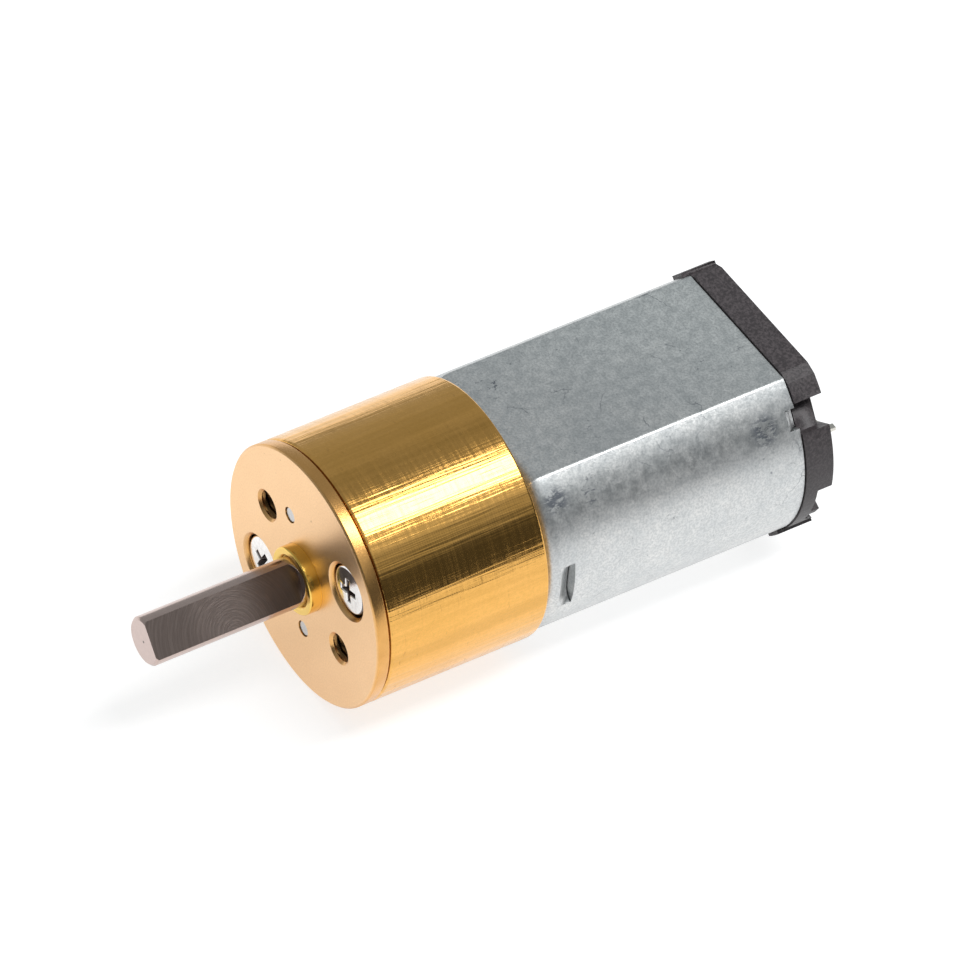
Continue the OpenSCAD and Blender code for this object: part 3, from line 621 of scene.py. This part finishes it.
def carve(bm, *cutters):
    """Cuts the cutters out of bm with exact booleans, and gives the result."""
    scene = bpy.context.scene
    base = bpy.data.objects.new("carve_base", bpy.data.meshes.new("carve_base"))
    bm.to_mesh(base.data)
    bm.free()
    scene.collection.objects.link(base)
    tools = []
    for cutter in cutters:
        tool = bpy.data.objects.new("carve_tool", bpy.data.meshes.new("carve_tool"))
        cutter.to_mesh(tool.data)
        cutter.free()
        scene.collection.objects.link(tool)
        cut = base.modifiers.new("cut", "BOOLEAN")
        cut.operation, cut.solver, cut.object = "DIFFERENCE", "EXACT", tool
        tools.append(tool)
    bpy.context.view_layer.update()
    done = bmesh.new()
    done.from_object(base, bpy.context.evaluated_depsgraph_get())
    for o in [base, *tools]:
        mesh = o.data
        bpy.data.objects.remove(o)
        bpy.data.meshes.remove(mesh)
    return done


def merge(target, *others):
    for other in others:
        mesh = bpy.data.meshes.new("merge")
        other.to_mesh(mesh)
        other.free()
        target.from_mesh(mesh)
        bpy.data.meshes.remove(mesh)
    return target


def turned_about_shaft(bm, degrees):
    bmesh.ops.rotate(
        bm, cent=(0, 0, 0), matrix=Matrix.Rotation(-math.radians(degrees), 3, "Y"), verts=bm.verts
    )
    return bm


# ---------------------------------------------------------------- gearbox front


def thread_sleeve(centre, depth):
    """The inside of a tapped M2 hole: a surface whose radius runs in a helix from core to crest."""
    pitch, crest, core, count = 0.4, 1.0, 0.82, 40
    start = 0.2
    steps = int((depth - start) / pitch * 8)
    rings = []
    for k in range(steps + 1):
        y = start + (depth - start) * k / steps
        points = []
        for i in range(count):
            phase = (y / pitch - i / count) % 1.0
            r = core + (crest - core) * abs(2 * phase - 1)
            a = 2 * math.pi * i / count
            points.append((centre[0] + r * math.cos(a), y, centre[1] + r * math.sin(a)))
        rings.append(points)
    for radius, y in ((0.86, 0.17), (1.02, 0.004), (1.09, 0.003)):
        rings.insert(0, ring(radius, y, count, centre))
    bm = loft(rings)
    bmesh.ops.reverse_faces(bm, faces=bm.faces)
    return bm


def front_plate():
    bm = from_cad("front_plate")
    bore, depth = 1.05, 2.0
    holes = [polar(MOUNT_RADIUS, MOUNT_ANGLE + turn) for turn in (0, 180)]
    cutters = [
        loft([ring(bore, -0.5, 40, hole), ring(bore, depth + 0.1, 40, hole)], True, True)
        for hole in holes
    ]
    bm = carve(bm, *cutters)
    soften(bm, 0.035, 32, 2)
    merge(bm, *[thread_sleeve(hole, depth) for hole in holes])
    mesh = to_mesh(bm, "front_plate_detailed")
    return add_piece("front_plate_detailed", mesh, "front_plate", 30)


def cross_cutter(centre, turn):
    """The tapered four-armed recess of a screw head."""
    bm = bmesh.new()
    top, bottom = -0.3, 0.62
    for quarter in (0, 90):
        a = math.radians(turn + quarter)
        along = Vector((math.cos(a), 0, math.sin(a)))
        across = Vector((-math.sin(a), 0, math.cos(a)))
        v = []
        for y, reach, width in ((top, 1.14, 0.27), (bottom, 0.40, 0.13)):
            middle = Vector((centre[0], y, centre[1]))
            for s, t in ((-1, -1), (1, -1), (1, 1), (-1, 1)):
                v.append(bm.verts.new(along * (s * reach) + across * (t * width) + middle))
        bm.faces.new(v[:4])
        bm.faces.new(v[:3:-1])
        for i in range(4):
            j = (i + 1) % 4
            bm.faces.new((v[i], v[i + 4], v[j + 4], v[j]))
    bmesh.ops.recalc_face_normals(bm, faces=bm.faces)
    return bm


def screw_head(centre, turn):
    base, head_r, top = 0.75, 1.55, 0.12
    profile = [(0.0001, base), (1.4, base), (head_r, base - 0.04), (head_r, 0.40)]
    for k in range(1, 7):
        a = math.radians(15 * k)
        profile.append((head_r - 0.20 * (1 - math.cos(a)), 0.40 - 0.20 * math.sin(a)))
    profile += [(1.0, 0.155), (0.5, 0.13), (0.0001, top)]
    bm = loft([ring(r, y, 56, centre) for r, y in profile])
    bmesh.ops.remove_doubles(bm, verts=bm.verts, dist=1e-3)
    bmesh.ops.recalc_face_normals(bm, faces=bm.faces)
    # the two arms of the cross cut one after the other
    arms = []
    whole = cross_cutter(centre, turn)
    for half in (whole.faces[:6], whole.faces[6:]):
        arm = bmesh.new()
        for f in half:
            arm.faces.new([arm.verts.new(v.co) for v in f.verts])
        bmesh.ops.remove_doubles(arm, verts=arm.verts, dist=1e-5)
        bmesh.ops.recalc_face_normals(arm, faces=arm.faces)
        arms.append(arm)
    whole.free()
    bm = carve(bm, *arms)
    soften(bm, 0.02, 40, 2)
    return bm


def front_screws():
    bm = bmesh.new()
    for turn, spin in ((0, 12), (180, 62)):
        centre = polar(SCREW_RADIUS, SCREW_ANGLE + turn)
        shank = loft([ring(0.8, 0.7, 32, centre), ring(0.8, 4.8, 32, centre)], True, True)
        merge(bm, screw_head(centre, spin), shank)
    mesh = to_mesh(bm, "front_screws_detailed")
    return add_piece("front_screws_detailed", mesh, "front_screws", 30)


def gear_pins():
    """The pins, with domed ends that stand nearly level with the face."""
    bm = from_cad("gear_pins")
    for v in bm.verts:
        if v.co.y < 0.3:
            v.co.y = 0.07
    soften(bm, 0.09)
    return add_piece("gear_pins_detailed", to_mesh(bm, "gear_pins_detailed"), "gear_pins")


# ---------------------------------------------------------------- motor can

CAN_R, CAN_H, CAN_WALL = 7.75, 6.0, 0.8
CAN_FRONT, CAN_REAR = 11.5, 28.9
WINDOW_Z, WINDOW_HALF = -0.45, 1.6
WINDOW_FRONT, WINDOW_REAR = 12.4, 13.35
CRIMP_ANGLE, CRIMP_WIDTH = 32.8, 1.15


def flat_sided_ring(inset, y, corner=0.32):
    """The can's outline: two round sides and two flats, joined by filleted corners."""
    r, h = CAN_R - inset, CAN_H - inset
    c = max(corner - inset, 0.12)
    cx = math.sqrt((r - c) ** 2 - (h - c) ** 2)
    start = math.atan2(h - c, cx)
    quarter = [(r * math.cos(start * k / 14), r * math.sin(start * k / 14)) for k in range(14)]
    for k in range(7):
        a = start + (math.pi / 2 - start) * k / 6
        quarter.append((cx + c * math.cos(a), h - c + c * math.sin(a)))
    quarter += [(cx * (1 - k / 5), h) for k in range(1, 5)]
    half = quarter + [(0.0, h)] + [(-x, z) for x, z in reversed(quarter)]
    whole = half + [(-x, -z) for x, z in half[1:-1]]
    return [(x, y, z) for x, z in whole]


def round_ring_like(points, radius, y):
    """A circle with one point in the direction of each given point."""
    out = []
    for x, _, z in points:
        a = math.atan2(z, x)
        out.append((radius * math.cos(a), y, radius * math.sin(a)))
    return out


def tongue():
    """The lanced magnet stop: the sheet behind the slit, pressed in most at its middle."""
    rings = []
    across, steps = 22, 8
    for i in range(across + 1):
        w = -1 + 2 * i / across
        z = WINDOW_Z + w * (WINDOW_HALF - 0.01)
        deep = 0.72 * (1 - abs(w) ** 3.2) ** 0.8
        outer, inner = [], []
        for k in range(steps + 1):
            u = k / steps
            y = WINDOW_FRONT - 0.08 + (WINDOW_REAR - 0.05 - WINDOW_FRONT + 0.08) * u
            drop = deep * (u * u * (3 - 2 * u) * 0.5 + u * 0.5)
            x = math.sqrt(CAN_R**2 - z * z) - 0.012
            outer.append((x - drop, y, z))
            inner.append((x - drop - 0.55, y, z))
        rings.append(outer + inner[::-1])
    return loft(rings, True, True)


def crimp_tab():
    """The bit of the can's rear edge that is pressed into the end cap."""
    rings = []
    for k in range(7):
        s = k / 6
        y = CAN_REAR - 0.72 + 0.70 * s
        drop = 0.52 * s * s * (3 - 2 * s)
        hi, lo = CAN_R - 0.03 - drop, CAN_R - CAN_WALL + 0.25 - drop * 0.9
        half = CRIMP_WIDTH / 2
        rings.append([(hi, y, -half), (hi, y, half), (lo, y, half), (lo, y, -half)])
    bm = loft(rings, True, True)
    soften(bm, 0.05, 40, 2)
    return bm


def motor_can():
    rows = []
    outer = flat_sided_ring(0, CAN_FRONT)
    front = flat_sided_ring(1.0, CAN_FRONT)
    rows.append(round_ring_like(front, 1.8, CAN_FRONT))
    for k in range(9):
        t = math.pi / 2 * k / 8
        rows.append(flat_sided_ring(1 - math.sin(t), CAN_FRONT + 1 - math.cos(t)))
    for y in (13.9, 16.5, 19.5, 22.5, 25.5, 27.6):
        rows.append(flat_sided_ring(0, y))
    rear_edge = (
        (0, CAN_REAR - 0.06),
        (0.02, CAN_REAR - 0.02),
        (0.06, CAN_REAR),
        (CAN_WALL - 0.04, CAN_REAR),
        (CAN_WALL, CAN_REAR - 0.04),
    )
    for inset, y in rear_edge:
        rows.append(flat_sided_ring(inset, y))
    rows.append(flat_sided_ring(CAN_WALL, CAN_FRONT + CAN_WALL))
    rows.append(round_ring_like(outer, 1.8, CAN_FRONT + CAN_WALL))
    rows.append(rows[0])
    bm = loft(rows)
    bmesh.ops.remove_doubles(bm, verts=bm.verts, dist=1e-4)
    bmesh.ops.recalc_face_normals(bm, faces=bm.faces)
    cutters = []
    half = CRIMP_WIDTH / 2 + 0.06
    for turn in (0, 180):
        window = box(
            (5.9, WINDOW_FRONT, WINDOW_Z - WINDOW_HALF),
            (8.5, WINDOW_REAR, WINDOW_Z + WINDOW_HALF),
        )
        notch = box((6.2, CAN_REAR - 0.65, -half), (8.5, CAN_REAR + 0.5, half))
        cutters.append(turned_about_shaft(window, turn))
        cutters.append(turned_about_shaft(notch, CRIMP_ANGLE + turn))
    bm = carve(bm, *cutters)
    for turn in (0, 180):
        merge(bm, turned_about_shaft(tongue(), turn))
        merge(bm, turned_about_shaft(crimp_tab(), CRIMP_ANGLE + turn))
    return add_piece("motor_can_detailed", to_mesh(bm, "motor_can_detailed"), "motor_can", 32)


front_plate()
front_screws()
motor_can()
softened("gearbox_housing", 0.08)
softened("output_bearing", 0.03)
softened("output_shaft", 0.08)
gear_pins()
softened("end_cap", 0.09, 30, 3)
softened("terminal_left", 0.03)
softened("terminal_right", 0.03)


# ---------------------------------------------------------------- studio


def floor():
    bm = bmesh.new()
    reach, near, z = 4.0, 0.125, -0.0080
    outline = ((-reach, -reach), (near, -reach), (near, reach), (-reach, reach))
    bm.faces.new([bm.verts.new((x, y, z)) for x, y in outline])
    mesh = bpy.data.meshes.new("floor")
    bm.to_mesh(mesh)
    bm.free()
    obj = bpy.data.objects.new("floor", mesh)
    bpy.context.scene.collection.objects.link(obj)
    material = bpy.data.materials.new("pale_floor")
    material.use_nodes = True
    tree = material.node_tree
    g = Graph("floor", tree)
    tree.nodes.remove(tree.nodes["Principled BSDF"])
    path = tree.nodes.new("ShaderNodeLightPath").outputs
    seen = g.plus(path["Is Camera Ray"], path["Is Glossy Ray"])
    seen = g.math("ADD", seen, path["Is Transmission Ray"], clamp=True)
    cloth = g.add("ShaderNodeBsdfDiffuse", {"Color": (0.5, 0.5, 0.5, 1)})
    strength = g.times(seen, 0.74)
    glow = g.add("ShaderNodeEmission", {"Color": (1, 1, 1, 1), "Strength": strength})
    both = g.add("ShaderNodeAddShader", {0: cloth, 1: glow})
    tree.links.new(both, tree.nodes["Material Output"].inputs["Surface"])
    mesh.materials.append(material)


def world():
    """A soft room: grey to the left, dark low on the right, and white where the camera sees it."""
    w = bpy.data.worlds.new("soft_room")
    bpy.context.scene.world = w
    w.use_nodes = True
    tree = w.node_tree
    g = Graph("room", tree)
    d = g.split(tree.nodes.new("ShaderNodeTexCoord").outputs["Generated"])
    side = g.step(d[0], -0.1, 0.25, 1.0, 0.0)
    left = g.step(d[0], -0.95, 0.1, 0.42, 0.26)
    right = g.step(d[2], 0.32, 0.74, 0.075, 0.62)
    other = g.math("SUBTRACT", 1.0, side)
    level = g.plus(g.times(side, left), g.times(other, right))
    level = g.most(level, g.step(d[2], -0.20, -0.12, 0.97, 0.0))
    seen = tree.nodes.new("ShaderNodeLightPath").outputs["Is Camera Ray"]
    unseen = g.math("SUBTRACT", 1.0, seen)
    strength = g.plus(g.times(level, unseen), seen)
    upper = g.times(g.step(d[2], -0.12, 0.1), unseen)
    shade = g.mix(upper, (1.0, 1.0, 1.0), (0.95, 1.01, 1.03))
    background = tree.nodes["Background"].inputs
    tree.links.new(shade, background["Color"])
    tree.links.new(strength, background["Strength"])


def softbox(name, angle, forward, distance, width, length, radiance):
    """A soft rectangular lamp, at an angle up from +X and leaning along the shaft's axis."""
    a = math.radians(angle)
    flat = math.sqrt(1 - forward * forward)
    way = Vector((math.cos(a) * flat, forward, math.sin(a) * flat))
    lamp = bpy.data.lights.new(name, "AREA")
    lamp.shape, lamp.size, lamp.size_y = "RECTANGLE", width, length
    lamp.energy = radiance * math.pi * width * length
    obj = bpy.data.objects.new(name, lamp)
    bpy.context.scene.collection.objects.link(obj)
    obj.location = way * distance
    z = way
    y = (Vector((0, 1, 0)) - z * z.y).normalized()
    x = y.cross(z)
    obj.rotation_mode = "QUATERNION"
    obj.rotation_quaternion = Matrix((x, y, z)).transposed().to_quaternion()
    obj.visible_camera = False
    return obj


def camera():
    rows = (
        Vector((0.53112304, 0.84627757, 0.04150402)),
        Vector((-0.60426446, 0.34398837, 0.71870472)),
        Vector((0.59394678, -0.40680004, 0.69407561)),
    )
    offset = Vector((-0.010025, -0.0054996, -0.9))
    turn = Matrix(rows).transposed()
    data = bpy.data.cameras.new("camera")
    data.lens, data.sensor_width = 596.35, 36.0
    data.clip_start, data.clip_end = 0.05, 20.0
    obj = bpy.data.objects.new("camera", data)
    bpy.context.scene.collection.objects.link(obj)
    obj.matrix_world = Matrix.Translation(-(turn @ offset)) @ turn.to_4x4()
    bpy.context.scene.camera = obj


floor()
world()
softbox("key", 71.5, 0.407, 1.0, 0.26, 1.0, 8.5)
camera()
bpy.context.scene.view_settings.view_transform = "Standard"
